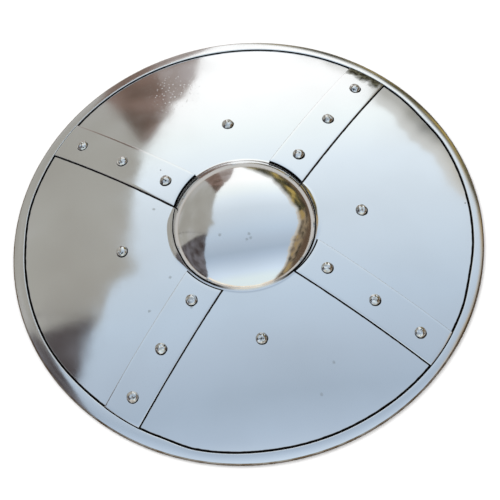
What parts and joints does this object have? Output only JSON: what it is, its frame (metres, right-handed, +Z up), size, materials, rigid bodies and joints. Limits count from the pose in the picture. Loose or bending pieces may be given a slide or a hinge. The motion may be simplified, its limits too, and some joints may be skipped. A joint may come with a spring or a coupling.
{
  "type": "buckler shield",
  "caption": "Round dished steel buckler with a raised central boss, a folded rim band, riveted radial bars and leather straps behind.",
  "frame": {"origin": "centre of the rim's underside, on the surface that the shield lies on", "axes": "+Z up out of the boss, with the shield lying on its rim; the picture looks along +Y from the -Y side and down"},
  "size_m": [0.3998, 0.3998, 0.0625],
  "materials": {
    "sheet_steel": "mirror polished, with faint scratches and pits",
    "rim_steel": "polished, browned along the outer fold",
    "bar_steel": "mirror polished, with dark cut edges",
    "rivet_steel": "polished, hammered heads with dark dirt round them",
    "strap_leather": "waxed, worn"
  },
  "bodies": {
    "root": {"dish": "sheet_steel", "rim": "rim_steel", "bar_ne": "bar_steel", "bar_nw": "bar_steel", "bar_sw": "bar_steel", "bar_se": "bar_steel", "rivet_ne_inner": "rivet_steel", "rivet_ne_middle": "rivet_steel", "rivet_ne_outer": "rivet_steel", "rivet_nw_inner": "rivet_steel", "rivet_nw_middle": "rivet_steel", "rivet_nw_outer": "rivet_steel", "rivet_sw_inner": "rivet_steel", "rivet_sw_middle": "rivet_steel", "rivet_sw_outer": "rivet_steel", "rivet_se_inner": "rivet_steel", "rivet_se_middle": "rivet_steel", "rivet_se_outer": "rivet_steel", "strap_rivet_e": "rivet_steel", "strap_rivet_n": "rivet_steel", "strap_rivet_w": "rivet_steel", "strap_rivet_s": "rivet_steel", "strap_ne": "strap_leather", "strap_sw": "strap_leather"}
  },
  "joints": []
}
